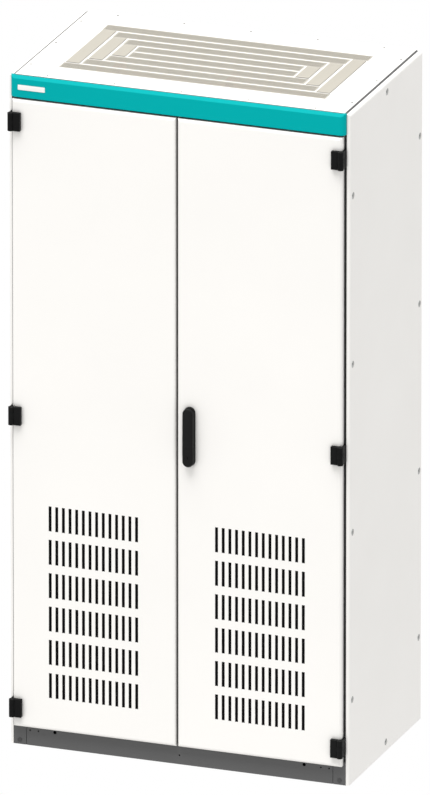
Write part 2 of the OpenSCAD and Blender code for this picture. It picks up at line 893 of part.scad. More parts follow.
module main_switch() {
    color("#3a3a3a") translate([switch_x, 0, switch_z]) difference() {
        union() {
            box(-105, 105, switch_front_y + 25, plate_y, -110, 110);
            box(-60, 60, switch_front_y, switch_front_y + 26, -55, 55);
        }
        for (i = [-1:1], s = [-1, 1])
            box(i * 68 - 22, i * 68 + 22, switch_front_y + 24, switch_front_y + 70, s * 90 - 24, s * 90 + 24);
        rod_along_y(6 + run_fit, switch_front_y - 1, switch_front_y + 12);
    }
}

module switch_knob() {
    color("firebrick") translate([switch_x, 0, switch_z]) {
        rod_along_y(6, switch_front_y - 2, switch_front_y + 11);
        rod_along_y(30, switch_front_y - 10, switch_front_y - 1);
        box(-8, 8, switch_front_y - 34, switch_front_y - 9, -38, 38);
    }
}

module fuse_holders() {
    color("dimgray") for (i = [0:2]) translate([-330 + i * 70, plate_y, 1330]) {
        box(0, 60, -35, 0, 0, 150);
        for (z = [8, 118]) box(14, 46, -72, -34, z, z + 24);
        translate([30, -56, 31]) cylinder(r = 20, h = 88);
    }
}

module line_contactor() {
    color("#4a4d50") translate([-310, plate_y, 1130]) difference() {
        union() {
            box(0, 160, -100, 0, 0, 170);
            box(20, 140, -150, -99, 40, 130);
        }
        for (i = [0:2], z = [-1, 138]) box(12 + i * 49, 50 + i * 49, -101, -60, z, z + 33);
    }
}

core_x = -410;
core_y = plate_y - 230;
core_z = base_top_z + 23;
core_w = 300;
core_h = 280;
core_t = 100;
leg_w = 50;

module reactor_core() {
    win_w = (core_w - 3 * leg_w) / 2;
    color("slategray") {
        translate([core_x, core_y, core_z]) difference() {
            box(0, core_w, 0, core_t, 0, core_h);
            for (i = [0, 1]) box(leg_w + i * (win_w + leg_w), leg_w + win_w + i * (win_w + leg_w),
                -1, core_t + 1, leg_w, core_h - leg_w);
        }
        for (x = [core_x + 5, core_x + core_w - 45])
            box(x, x + 40, core_y - 25, core_y + core_t + 25, base_top_z + 3, core_z);
    }
}

module reactor_coils() {
    win_w = (core_w - 3 * leg_w) / 2;
    coil_t = 28;
    h = core_h - 2 * leg_w - 8;
    color("saddlebrown") for (i = [0:2])
        translate([core_x + leg_w / 2 + i * (win_w + leg_w), core_y + core_t / 2, core_z + leg_w + 4])
            difference() {
                linear_extrude(h) round_rect(leg_w + 2 * coil_t, core_t + 2 * coil_t, 24);
                translate([0, 0, -1]) linear_extrude(h + 2) square([leg_w + 1, core_t + 1], center = true);
            }
}

module drive_housing() {
    y0 = plate_y - drive_d;
    color("lightgray") difference() {
        box(drive_x, drive_x + drive_w, y0, plate_y, drive_z, drive_z + drive_h);
        box(drive_x + 2, drive_x + drive_w - 2, y0 + 2, plate_y + 1, drive_z + 2, drive_z + drive_h - 2);
        for (x = fan_x) translate([x, fan_y, drive_z + drive_h - 3]) cylinder(r = 78, h = 4);
        for (i = [0:15]) translate([drive_x + 26 + i * 20, 0, drive_z]) {
            box(0, 8, y0 - 1, y0 + 3, 40, 150);
            box(0, 8, y0 + 60, plate_y - 40, -1, 3);
        }
    }
}

module drive_heatsink() {
    x0 = drive_x + 20;
    w = drive_w - 40;
    fins = 24;
    color("silver") {
        box(x0, x0 + w, plate_y - 135, plate_y - 117, drive_z + 60, drive_z + 800);
        for (i = [0:fins - 1]) translate([x0 + i * (w - 3) / (fins - 1), 0, 0])
            box(0, 3, plate_y - 118, plate_y - 6, drive_z + 60, drive_z + 800);
    }
}

fan_z = drive_z + drive_h;

module fan_frame(x) {
    translate([x, fan_y, fan_z]) {
        difference() {
            translate([-fan_size / 2, -fan_size / 2, 0]) cube([fan_size, fan_size, fan_t]);
            translate([0, 0, -1]) cylinder(r = 80, h = fan_t + 2);
            for (sx = [-1, 1], sy = [-1, 1])
                translate([sx * 75, sy * 75, -1]) cylinder(r = 2.7, h = fan_t + 2);
        }
        cylinder(r = 26, h = 10);
        cylinder(r = 4, h = fan_t - 4);
        for (a = [45:90:315]) rotate(a) translate([20, -3, 0]) cube([62, 6, 6]);
    }
}

module fan_frames() {
    color("#2b2b2b") for (x = fan_x) fan_frame(x);
}

module fan_rotor(x) {
    hub_z = 10.6;
    hub_h = fan_t - hub_z - 3;
    color("#1d1d1d") translate([x, fan_y, fan_z + hub_z]) difference() {
        union() {
            cylinder(r = 30, h = hub_h);
            for (a = [0:360 / 7:359]) rotate(a) translate([52, 0, hub_h / 2]) rotate([34, 0, 0])
                cube([48, 34, 2.4], center = true);
        }
        translate([0, 0, -1]) cylinder(r = 4 + run_fit, h = fan_t);
        translate([0, 0, hub_h]) cylinder(r = 90, h = 20);
        translate([0, 0, -20]) cylinder(r = 90, h = 20);
    }
}

module fan_rotor_left() {
    fan_rotor(fan_x[0]);
}

module fan_rotor_right() {
    fan_rotor(fan_x[1]);
}

// ---- Inside: control gear ----

module control_unit() {
    y1 = plate_y - drive_d;
    color("#5b6166") translate([drive_x + 110, y1, drive_z + 500]) difference() {
        box(0, 140, -55, 0, 0, 300);
        box(12, 128, -56, -52, 200, 280);
        for (i = [0:5]) box(20 + i * 17, 32 + i * 17, -56, -40, 12, 26);
        box(20, 60, -56, -35, 60, 74);
        box(20, 60, -56, -35, 90, 104);
    }
}

module power_supply() {
    color("lightgray") translate([60, plate_y - 7.8, rail_top_z - 50]) difference() {
        box(0, 60, -110, 0, -12, 52);
        for (i = [0:5]) box(7 + i * 8, 13 + i * 8, -95, -10, 50, 53);
        for (i = [0:4]) box(6 + i * 10, 13 + i * 10, -111, -100, -6, 4);
    }
}

terminal_count = 24;

module terminal_blocks() {
    color("darkseagreen") for (i = [0:terminal_count - 1])
        translate([70 + i * 12, plate_y - 7.8, rail_low_z]) difference() {
            box(0, 11.6, -42, 0, -28, 28);
            for (s = [-1, 1]) box(3, 8.6, -43, -30, s * 20 - 3, s * 20 + 3);
        }
}

breaker_x = [160, 215];
breaker_w = 36;
breaker_pivot_y = plate_y - 66;

module breaker_bodies() {
    color("whitesmoke") for (x = breaker_x) translate([x, plate_y - 7.8, rail_top_z]) difference() {
        union() {
            box(0, breaker_w, -44, 0, -42, 42);
            box(0, breaker_w, -66, -43, -22, 22);
        }
        box(6, breaker_w - 6, -67, -48, -13, 13);
        translate([0, -58.2, 0]) rod_along_x(2 + run_fit, 3, breaker_w - 3);
    }
}

// Toggle of a circuit breaker, standing up in the on position
module breaker_lever(x) {
    color("#2060a0") translate([x, breaker_pivot_y, rail_top_z]) {
        rod_along_x(2, 3.4, breaker_w - 3.4);
        rod_along_x(7, 6.5, breaker_w - 6.5);
        rotate([-35, 0, 0]) box(9, breaker_w - 9, -20, 0, -2.5, 2.5);
    }
}

module breaker_lever_left() {
    breaker_lever(breaker_x[0]);
}

module breaker_lever_right() {
    breaker_lever(breaker_x[1]);
}

plinth_corners();
plinth_covers();
plinth_side_rails();
frame_posts();
centre_post();
frame_beams();
side_panel_left();
side_panel_right();
rear_panel();
panel_fasteners();
roof_plate();
roof_grilles();
cover_screws();
header();
hinge_bases();
hinge_pins();
rod_keepers();
gland_plate();
cable_rail();
mounting_plate();
din_rails();
wiring_ducts();
busbars();
busbar_supports();
main_switch();
switch_knob();
fuse_holders();
line_contactor();
reactor_core();
reactor_coils();
drive_housing();
drive_heatsink();
fan_frames();
fan_rotor_left();
fan_rotor_right();
control_unit();
power_supply();
terminal_blocks();
breaker_bodies();
breaker_lever_left();
breaker_lever_right();
door_left();
door_seal_left();
hinge_leaves_left();
filter_mat_left();
bolt_guides();
bolt_upper();
bolt_lower();
door_right();
door_seal_right();
hinge_leaves_right();
filter_mat_right();
rod_guides();
lock_case();
handle_base();
handle_spindle();
handle_lever();
lock_cylinder();
lock_rod_upper();
lock_rod_lower();
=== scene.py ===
import json
import math

import bmesh
import bpy
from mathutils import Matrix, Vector, noise


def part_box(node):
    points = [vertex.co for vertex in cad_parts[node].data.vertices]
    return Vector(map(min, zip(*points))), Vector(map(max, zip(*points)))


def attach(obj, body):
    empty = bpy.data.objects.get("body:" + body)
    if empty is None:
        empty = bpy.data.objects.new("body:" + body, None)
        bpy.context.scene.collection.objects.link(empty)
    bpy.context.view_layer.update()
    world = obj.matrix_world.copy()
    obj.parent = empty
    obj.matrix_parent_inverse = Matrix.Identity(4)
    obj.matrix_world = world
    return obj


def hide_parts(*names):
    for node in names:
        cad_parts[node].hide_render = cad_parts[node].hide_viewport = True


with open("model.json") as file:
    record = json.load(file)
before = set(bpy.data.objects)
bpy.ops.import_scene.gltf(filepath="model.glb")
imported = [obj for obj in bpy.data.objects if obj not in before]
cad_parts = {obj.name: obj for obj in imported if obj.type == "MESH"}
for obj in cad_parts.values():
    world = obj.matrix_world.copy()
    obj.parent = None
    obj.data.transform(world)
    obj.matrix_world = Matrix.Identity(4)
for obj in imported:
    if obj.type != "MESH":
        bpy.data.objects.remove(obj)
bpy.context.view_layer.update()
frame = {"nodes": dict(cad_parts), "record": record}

NODES = frame["nodes"]
MM = 0.001


# ---- Materials -------------------------------------------------------------------------------

SEAM_SHADE_REACH = 0.012                    # how near another surface darkens the paint with painted shade, in metres


def tone(colour, factor):
    """The colour brighter or darker."""
    return tuple(min(1.0, c * factor) for c in colour)


class Nodes:
    """A material's node tree, with short calls to add nodes and links."""

    def __init__(self, name):
        self.material = bpy.data.materials.new(name)
        self.material.use_nodes = True
        self.tree = self.material.node_tree
        self.shader = self.tree.nodes["Principled BSDF"]
        self.place = self.tree.nodes.new("ShaderNodeTexCoord").outputs["Object"]

    def add(self, kind, inputs=None, **settings):
        node = self.tree.nodes.new(kind)
        for key, value in settings.items():
            setattr(node, key, value)
        for key, value in (inputs or {}).items():
            if isinstance(value, bpy.types.NodeSocket):
                self.tree.links.new(value, node.inputs[key])
            else:
                node.inputs[key].default_value = value
        return node

    def maths(self, operation, first, second=0.0):
        return self.add("ShaderNodeMath", {0: first, 1: second}, operation=operation).outputs[0]

    def link(self, output, key):
        self.tree.links.new(output, self.shader.inputs[key])

    def stretched(self, scale):
        """Object coordinates scaled along x, y and z."""
        return self.add("ShaderNodeMapping", {"Vector": self.place, "Scale": scale}).outputs[0]

    def noise(self, scale, detail=2.0, vector=None, rough=0.5):
        inputs = {"Vector": vector or self.place, "Scale": scale, "Detail": detail, "Roughness": rough}
        return self.add("ShaderNodeTexNoise", inputs).outputs[0]

    def spread(self, value, low, high):
        """Maps a 0.3 to 0.7 noise onto low to high."""
        inputs = {"Value": value, "From Min": 0.3, "From Max": 0.7, "To Min": low, "To Max": high}
        return self.add("ShaderNodeMapRange", inputs).outputs[0]

    def mixed(self, factor, dark, light):
        node = self.add("ShaderNodeMix", data_type="RGBA")
        self.tree.links.new(factor, node.inputs[0])
        node.inputs[6].default_value = (*dark, 1)
        node.inputs[7].default_value = (*light, 1)
        return node.outputs[2]

    def patchy(self, scale, colour, dark, light, detail=3.0):
        """The colour drifting between two brightnesses in soft patches."""
        factor = self.spread(self.noise(scale, detail), 0, 1)
        return self.mixed(factor, tone(colour, dark), tone(colour, light))

    def bands(self, spacing, axis, distortion):
        """Soft stripes, one after the other along an axis, with their spacing in metres."""
        inputs = {"Vector": self.place, "Scale": math.pi / 10 / spacing, "Distortion": distortion}
        return self.add("ShaderNodeTexWave", inputs, wave_type="BANDS", bands_direction=axis).outputs[1]

    def shaded(self, colour, reach, power):
        """Colour darkened in folds and gaps where less light reaches them: painted shade."""
        open_sky = self.add("ShaderNodeAmbientOcclusion", {"Distance": reach}, samples=6).outputs["AO"]
        depth = self.maths("POWER", open_sky, power)
        return self.add("ShaderNodeVectorMath", {0: colour, "Scale": depth}, operation="SCALE").outputs[0]

    def bump(self, height, strength, distance, under=None):
        inputs = {"Height": height, "Strength": strength, "Distance": distance}
        if under is not None:
            inputs["Normal"] = under
        return self.add("ShaderNodeBump", inputs).outputs[0]


def painted(name, colour, rough=0.42, specular=0.4, vary=0.012, seam_shade=0.0):
    """Powder coat: faint orange peel, a little drift in tone and gloss, and painted shade that darkens it in
    folds and gaps.
    """
    n = Nodes(name)
    coat = n.patchy(2.5, colour, 1 - vary, 1 + vary)
    # painted shade: the colour is darkened where other surfaces are near
    n.link(n.shaded(coat, SEAM_SHADE_REACH, seam_shade) if seam_shade else coat, "Base Color")
    n.link(n.spread(n.noise(9.0, 4.0), rough - 0.05, rough + 0.05), "Roughness")
    n.link(n.bump(n.noise(700.0, 2.0), 0.05, 0.0004), "Normal")
    n.shader.inputs["Specular IOR Level"].default_value = specular
    return n.material


def moulded(name, colour, rough=0.5, specular=0.4, vary=0.06):
    """Moulded plastic: fine spark-eroded grain and slight gloss changes."""
    n = Nodes(name)
    n.link(n.patchy(14.0, colour, 1 - vary, 1 + vary), "Base Color")
    n.link(n.spread(n.noise(40.0, 3.0), rough - 0.06, rough + 0.06), "Roughness")
    n.link(n.bump(n.noise(1400.0, 3.0), 0.15, 0.0004), "Normal")
    n.shader.inputs["Specular IOR Level"].default_value = specular
    return n.material


def galvanised(name, colour):
    """Hot-dip zinc: spangle patches of differing tone and gloss."""
    n = Nodes(name)
    cells = n.add("ShaderNodeTexVoronoi", {"Vector": n.place, "Scale": 75.0, "Randomness": 1.0})
    shade = n.add("ShaderNodeSeparateColor", {0: cells.outputs["Color"]}).outputs[0]
    n.link(n.mixed(shade, tone(colour, 0.88), tone(colour, 1.08)), "Base Color")
    gloss = n.add("ShaderNodeMapRange", {"Value": shade, "To Min": 0.36, "To Max": 0.55})
    n.link(gloss.outputs[0], "Roughness")
    n.link(n.bump(n.noise(260.0, 3.0), 0.05, 0.0003), "Normal")
    n.shader.inputs["Metallic"].default_value = 0.85
    return n.material


def plated(name, colour, rough=0.34, stretch=(1, 1, 1), vary=0.08):
    """Bare or plated metal. A small scale in stretch draws its fine marks out along that axis."""
    n = Nodes(name)
    streaks = n.noise(500.0, 3.0, n.stretched(stretch))
    n.link(n.patchy(30.0, colour, 1 - vary, 1 + vary), "Base Color")
    n.link(n.spread(streaks, rough - 0.08, rough + 0.08), "Roughness")
    n.link(n.bump(streaks, 0.08, 0.0003), "Normal")
    n.shader.inputs["Metallic"].default_value = 1.0
    return n.material


def rubber(name, colour):
    """Soft seal rubber: dull, with a fine uneven skin."""
    n = Nodes(name)
    n.link(n.patchy(120.0, colour, 0.75, 1.3, detail=4.0), "Base Color")
    n.link(n.spread(n.noise(60.0), 0.7, 0.9), "Roughness")
    n.link(n.bump(n.noise(900.0, 4.0), 0.4, 0.0005), "Normal")
    n.shader.inputs["Specular IOR Level"].default_value = 0.25
    return n.material


def felt(name, colour):
    """Nonwoven filter felt: matted fibres in two directions, with a little sheen."""
    n = Nodes(name)
    fibres = n.noise(300.0, 5.0, n.stretched((1, 1, 0.25)), 0.7)
    cross = n.noise(300.0, 5.0, n.stretched((0.25, 1, 1)), 0.7)
    n.link(n.mixed(n.spread(fibres, 0, 1), tone(colour, 0.6), tone(colour, 1.5)), "Base Color")
    n.link(n.bump(cross, 0.7, 0.002, n.bump(fibres, 0.7, 0.002)), "Normal")
    n.shader.inputs["Roughness"].default_value = 0.95
    n.shader.inputs["Specular IOR Level"].default_value = 0.02
    return n.material


def laminated(name, colour, spacing):
    """Varnished laminations stacked along y."""
    n = Nodes(name)
    lines = n.bands(spacing, "Y", 0.4)
    n.link(n.mixed(lines, tone(colour, 0.65), tone(colour, 1.2)), "Base Color")
    n.link(n.spread(n.noise(50.0, 3.0), 0.3, 0.5), "Roughness")
    n.link(n.bump(lines, 0.4, 0.0006), "Normal")
    n.shader.inputs["Metallic"].default_value = 0.4
    return n.material


def wound(name, colour, spacing):
    """Wound and varnished insulation, whose turns show one above the other."""
    n = Nodes(name)
    turns = n.bands(spacing, "Z", 0.6)
    n.link(n.mixed(turns, tone(colour, 0.6), tone(colour, 1.35)), "Base Color")
    n.link(n.spread(n.noise(70.0, 3.0), 0.25, 0.45), "Roughness")
    n.link(n.bump(turns, 0.5, 0.002), "Normal")
    n.shader.inputs["Coat Weight"].default_value = 0.35
    return n.material


WHITE = (0.875, 0.858, 0.828)
FINISHES = {
    # white_paint, header_paint and grille_paint carry painted shade in their folds and gaps
    "white_paint": painted("white_paint", WHITE, seam_shade=0.6),
    "header_paint": painted("header_paint", (0.0, 0.375, 0.378), rough=0.35, specular=0.03, seam_shade=1.0),
    "plinth_paint": painted("plinth_paint", (0.104, 0.104, 0.104), specular=0.25, vary=0.04),
    "zinc_sheet": galvanised("zinc_sheet", (0.60, 0.61, 0.62)),
    "zinc_parts": plated("zinc_parts", (0.62, 0.62, 0.60)),
    "grille_paint": painted("grille_paint", (0.465, 0.437, 0.376), rough=0.5, seam_shade=0.9),
    "screw_steel": painted("screw_steel", (0.075, 0.075, 0.075), specular=0.1, vary=0.1),
    "black_metal": painted("black_metal", (0.0085, 0.0085, 0.0085), specular=0.05, vary=0.15),
    "handle_black": moulded("handle_black", (0.0085, 0.0085, 0.0083), specular=0.1, vary=0.12),
    "seal_rubber": rubber("seal_rubber", (0.02, 0.02, 0.02)),
    "filter_felt": felt("filter_felt", (0.005, 0.005, 0.0055)),
    "duct_plastic": moulded("duct_plastic", (0.36, 0.39, 0.41)),
    "copper": plated("copper", (0.70, 0.33, 0.18), rough=0.3, stretch=(0.02, 1, 1), vary=0.2),
    "red_insulator": moulded("red_insulator", (0.33, 0.03, 0.02)),
    "switch_plastic": moulded("switch_plastic", (0.03, 0.03, 0.033)),
    "knob_red": moulded("knob_red", (0.45, 0.012, 0.01), rough=0.3),
    "core_steel": laminated("core_steel", (0.11, 0.12, 0.13), 3.77 * MM),
    "coil_wrap": wound("coil_wrap", (0.20, 0.085, 0.025), 10.996 * MM),
    "drive_paint": painted("drive_paint", (0.45, 0.46, 0.45)),
    "heatsink_alloy": plated("heatsink_alloy", (0.72, 0.73, 0.74), stretch=(1, 1, 0.02)),
    "fan_plastic": moulded("fan_plastic", (0.012, 0.012, 0.012)),
    "control_plastic": moulded("control_plastic", (0.075, 0.085, 0.095)),
    "terminal_plastic": moulded("terminal_plastic", (0.22, 0.26, 0.21)),
    "breaker_plastic": moulded("breaker_plastic", (0.66, 0.66, 0.62), vary=0.02),
    "lever_blue": moulded("lever_blue", (0.02, 0.08, 0.30), rough=0.3),
}

SLOTS = {entry["node"]: entry["material_slot"] for entry in frame["record"]["subparts"]}
BODY_OF = {node: body for body, nodes in frame["record"]["behaviour"]["bodies"].items() for node in nodes}
ROOT = BODY_OF["frame_posts"]

for node, finish in SLOTS.items():
    mesh = NODES[node].data
    mesh.materials.clear()
    mesh.materials.append(FINISHES[finish])


# Nodes whose sharp edges are rounded: radius, segments, and a finish other than the record's
SOFT_EDGES = {
    "lock_cylinder": (0.6 * MM, 2, "handle_black"),
    "hinge_leaves_left": (0.7 * MM, 2, None),
    "hinge_leaves_right": (0.7 * MM, 2, None),
    "hinge_bases": (0.7 * MM, 2, None),
    "hinge_pins": (0.4 * MM, 2, "black_metal"),
    "panel_fasteners": (0.8 * MM, 3, "drive_paint"),
    "rod_keepers": (0.5 * MM, 2, None),
    "main_switch": (1.5 * MM, 3, None),
    "switch_knob": (1.5 * MM, 3, None),
    "fuse_holders": (1.2 * MM, 3, None),
    "line_contactor": (1.5 * MM, 3, None),
    "control_unit": (1.6 * MM, 3, None),
    "power_supply": (0.6 * MM, 2, None),
    "breaker_bodies": (0.5 * MM, 2, None),
    "terminal_blocks": (0.4 * MM, 2, None),
    "busbars": (0.8 * MM, 2, None),
    "busbar_supports": (1.0 * MM, 2, None),
    "fan_frames": (0.8 * MM, 2, None),
}


# ---- Mesh helpers -----------------------------------------------------------------------------

SMOOTH_ANGLE = math.radians(32)       # a piece is shaded smooth across edges flatter than this
FLAT_ANGLE = math.radians(1)          # CAD faces that meet flatter than this are joined before rounding
SHARP_ANGLE = math.radians(30)        # CAD edges sharper than this are rounded


def add_piece(name, mesh, body, slot, *replaced):
    """Puts a finished mesh in the scene as a piece of a CAD body, with one of the record's finishes."""
    piece = bpy.data.objects.new(name, mesh)
    bpy.context.scene.collection.objects.link(piece)
    for face in mesh.polygons:
        face.use_smooth = True
    mesh.set_sharp_from_angle(angle=SMOOTH_ANGLE)
    mesh.materials.append(FINISHES[slot])
    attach(piece, body)
    if replaced:
        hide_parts(*replaced)
    return piece


def plate_mesh(name, faces, low, high):
    """Closed plate between two heights from flat faces that share their corners."""
    places = {}
    loops = [[places.setdefault((round(x, 6), round(y, 6)), len(places)) for x, y in face] for face in faces]
    count = len(places)
    verts = [(x, y, z) for z in (high, low) for x, y in places]
    edges = {(a, b) for loop in loops for a, b in zip(loop, loop[1:] + loop[:1])}
    walls = [(b, a, a + count, b + count) for a, b in sorted(edges) if (b, a) not in edges]
    bottoms = [[i + count for i in reversed(loop)] for loop in loops]
    mesh = bpy.data.meshes.new(name)
    mesh.from_pydata(verts, [], loops + bottoms + walls)
    return mesh


def loft_mesh(name, rings):
    """Closed skin through rings of equal length, with flat ends."""
    size = len(rings[0])
    faces = [tuple(range(size))[::-1], tuple((len(rings) - 1) * size + i for i in range(size))]
    for k in range(len(rings) - 1):
        for i in range(size):
            j = (i + 1) % size
            faces.append((k * size + i, k * size + j, (k + 1) * size + j, (k + 1) * size + i))
    mesh = bpy.data.meshes.new(name)
    mesh.from_pydata([point for ring in rings for point in ring], [], faces)
    fix = bmesh.new()
    fix.from_mesh(mesh)
    bmesh.ops.recalc_face_normals(fix, faces=fix.faces)
    fix.to_mesh(mesh)
    fix.free()
    return mesh


def arc(cx, cy, r, start, end, steps):
    """Points on an arc, from one angle in degrees to another."""
    turns = [math.radians(start + (end - start) * i / steps) for i in range(steps + 1)]
    return [(cx + r * math.cos(turn), cy + r * math.sin(turn)) for turn in turns]


def rounded_outline(x0, x1, y0, y1, r, steps=6):
    """Rectangle with round corners, anticlockwise."""
    return (arc(x1 - r, y0 + r, r, -90, 0, steps) + arc(x1 - r, y1 - r, r, 0, 90, steps)
            + arc(x0 + r, y1 - r, r, 90, 180, steps) + arc(x0 + r, y0 + r, r, 180, 270, steps))


def inset(outline, distance):
    """Outline moved inwards, where it runs anticlockwise."""
    moved = []
    for i, here in enumerate(outline):
        before = Vector(outline[i - 1])
        after = Vector(outline[(i + 1) % len(outline)])
        first = (Vector(here) - before).normalized()
        second = (after - Vector(here)).normalized()
        normal = Vector((-first.y - second.y, first.x + second.x)).normalized()
        scale = max(0.5, normal.dot(Vector((-first.y, first.x))))
        moved.append(tuple(Vector(here) + normal * (distance / scale)))
    return moved


def rounded_slab(name, outline, low, high, r, place, steps=4):
    """Slab whose upper edge is rounded; place turns (u, v, height) into a point."""
    levels = [(0.0, low)]
    for i in range(steps + 1):
        turn = math.radians(90 * i / steps)
        levels.append((r * (1 - math.cos(turn)), high - r + r * math.sin(turn)))
    rings = [[place(u, v, height) for u, v in inset(outline, off)] for off, height in levels]
    return loft_mesh(name, rings)


def flat_slab(name, outline, low, high, r, slot):
    """Slab with a rounded upper edge, lying level on the cabinet."""
    mesh = rounded_slab(name, outline, low, high, r, lambda u, v, w: (u, v, w))
    return add_piece(name, mesh, ROOT, slot)


def upright(x, y, z):
    """Places a slab's outline in a vertical plane, with its height towards the front."""
    return lambda u, v, w: (x + u, y - w, z + v)


def ramp(value, start, end):
    """0 up to start, then evenly up to 1 at end."""
    return min(1.0, max(0.0, (value - start) / (end - start)))


def stretches(node):
    """Heights that a node's separate solids reach, as (low, high) from the bottom up."""
    gap = 1 * MM                      # solids closer than this count as one
    mesh = NODES[node].data
    heights = [[mesh.vertices[i].co.z for i in face.vertices] for face in mesh.polygons]
    spans = []
    for low, high in sorted((min(reach), max(reach)) for reach in heights):
        if spans and low <= spans[-1][1] + gap:
            spans[-1] = (spans[-1][0], max(spans[-1][1], high))
        else:
            spans.append((low, high))
    return spans


def box_mesh(x0, x1, y0, y1, z0, z1):
    return loft_mesh("cutter", [[(x0, y0, z), (x1, y0, z), (x1, y1, z), (x0, y1, z)] for z in (z0, z1)])


def rod_mesh(r, low, high, place, steps=64):
    """Round cutter; place turns (u, v, along) into a point."""
    circle = arc(0, 0, r, 0, 360 - 360 / steps, steps - 1)
    return loft_mesh("cutter", [[place(u, v, along) for u, v in circle] for along in (low, high)])


def carved(name, mesh, cuts):
    """The mesh after (operation, cutter mesh) pairs, one after the other."""
    helpers = [bpy.data.objects.new("work", mesh)]
    for operation, cutter in cuts:
        helper = bpy.data.objects.new("cutter", cutter)
        helpers.append(helper)
        cut = helpers[0].modifiers.new("cut", "BOOLEAN")
        cut.operation = operation
        cut.solver = "EXACT"
        cut.object = helper
    for helper in helpers:
        bpy.context.scene.collection.objects.link(helper)
    done = bpy.data.meshes.new_from_object(helpers[0].evaluated_get(bpy.context.evaluated_depsgraph_get()))
    for helper in helpers:
        bpy.data.objects.remove(helper)
    done.name = name
    done.materials.clear()
    return done


def softened(node, width, segments, finish):
    """A CAD node's shape again with its sharp edges rounded, in place of the node."""
    work = bmesh.new()
    work.from_mesh(NODES[node].data)
    bmesh.ops.remove_doubles(work, verts=work.verts, dist=1e-6)
    bmesh.ops.dissolve_limit(work, angle_limit=FLAT_ANGLE, verts=work.verts, edges=work.edges)
    sharp = [e for e in work.edges if len(e.link_faces) == 2 and e.calc_face_angle(0) > SHARP_ANGLE]
    bmesh.ops.bevel(work, geom=sharp, offset=width, segments=segments, profile=0.5, affect="EDGES",
                    clamp_overlap=True)
    bmesh.ops.remove_doubles(work, verts=work.verts, dist=1e-7)
    bmesh.ops.triangulate(work, faces=work.faces)
    mesh = bpy.data.meshes.new(node + "_soft")
    work.to_mesh(mesh)
    work.free()
    return add_piece(node + "_soft", mesh, BODY_OF[node], finish or SLOTS[node], node)


# ---- Roof -------------------------------------------------------------------------------------

def perforated_faces(x0, x1, y0, y1):
    """Faces of a perforated strip: small eight-sided holes in staggered rows, with a plain rim."""
    pitch_x = 6.0 * MM
    pitch_y = 5.2 * MM
    hole_r = 1.85 * MM
    rim = 1.6 * MM
    rows = int((y1 - y0 - 2 * rim) / pitch_y)
    cells = int((x1 - x0 - 2 * rim) / pitch_x)
    left = (x0 + x1 - cells * pitch_x) / 2
    low = (y0 + y1 - rows * pitch_y) / 2
    half = pitch_x / 2
    faces = []
    for row in range(rows):
        yb = low + row * pitch_y
        yt = yb + pitch_y
        ym = (yb + yt) / 2
        shift = half * (row % 2)
        for cell in range(cells - row % 2):
            xl = left + shift + cell * pitch_x
            xm = xl + half
            xr = xl + pitch_x
            edge = [(xr, ym), (xr, yt), (xm, yt), (xl, yt), (xl, ym), (xl, yb), (xm, yb), (xr, yb)]
            hole = arc(xm, ym, hole_r, 0, 315, 7)
            for k in range(8):
                j = (k + 1) % 8
                faces.append([hole[k], edge[k], edge[j], hole[j]])
        for side, end in ((-1, x0), (1, x1)):
            first = left if side < 0 else left + cells * pitch_x
            inner = [first, first - side * half] if row % 2 else [first]
            block = ([(end, yb)] + [(x, yb) for x in inner] + [(inner[-1], ym)]
                     + [(x, yt) for x in reversed(inner)] + [(end, yt)])
            faces.append(block if side < 0 else block[::-1])
    marks = [x0] + [left + i * half for i in range(2 * cells + 1)] + [x1]
    for yb, yt in ((y0, low), (low + rows * pitch_y, y1)):
        for a, b in zip(marks, marks[1:]):
            faces.append([(a, yb), (b, yb), (b, yt), (a, yt)])
    return faces


VENT_WIDTH = 40 * MM                  # openings in the roof plate
VENT_STEP = 50 * MM                   # from one ring of openings to the next
VENT_FIT = 0.2 * MM                   # how far the CAD strips stay inside their openings
STRIP_WIDTH = 42.5 * MM
CROSS_IN = 23.5 * MM                  # the outer cross strips' middle, in from the openings' ends
CROSS_SHORT = 26 * MM                 # a cross strip's end, in from the middle of the long strip beyond it
SEAL_TOP = 1.0 * MM                   # above the roof plate


def make_roof_strips():
    """Rings of perforated strips, closed at their ends by plain raised ones on dark seals, whose dark edges
    are painted shadow under the raised strips.
    """
    low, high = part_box("roof_grilles")
    plate_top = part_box("roof_plate")[1][2]
    mid_y = (low[1] + high[1]) / 2
    half_y = high[1] + VENT_FIT - mid_y - VENT_WIDTH / 2
    for ring in range(4):
        half_x = high[0] - ring * VENT_STEP
        for side, end in ((-1, "front"), (1, "rear")):
            y = mid_y + side * (half_y - ring * VENT_STEP)
            faces = perforated_faces(-half_x, half_x, y - STRIP_WIDTH / 2, y + STRIP_WIDTH / 2)
            name = f"vent_strip_{end}_{ring + 1}"
            mesh = plate_mesh(name, faces, plate_top + 0.02 * MM, plate_top + 0.3 * MM)
            strip = add_piece(name, mesh, ROOT, "grille_paint")
            if ring == 0 and side < 0:
                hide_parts("roof_grilles")
    for ring in range(3):
        for side, name in ((-1, "left"), (1, "right")):
            x = side * (high[0] + VENT_FIT - CROSS_IN - ring * VENT_STEP)
            reach = half_y - CROSS_SHORT - ring * VENT_STEP
            outline = rounded_outline(x - VENT_WIDTH / 2, x + VENT_WIDTH / 2, mid_y - reach, mid_y + reach,
                                      1.0 * MM)
            # dark seal under each raised strip: its edge is painted shadow along the strip's front and sides
            flat_slab(f"vent_shade_seal_{name}_{ring + 1}", inset(outline, 0.1 * MM), plate_top + 0.03 * MM,
                      plate_top + SEAL_TOP, 0.1 * MM, "seal_rubber")
            flat_slab(f"vent_cross_{name}_{ring + 1}", outline, plate_top + SEAL_TOP, high[2] - 0.02 * MM,
                      0.3 * MM, "grille_paint")


CAP_R = 9 * MM
CAP_PLACES = (("outer_front", 472.5 * MM, -205 * MM), ("inner_front", 422.5 * MM, -255 * MM),
              ("outer_rear", 472.5 * MM, 253 * MM), ("inner_rear", 422.5 * MM, 300 * MM))


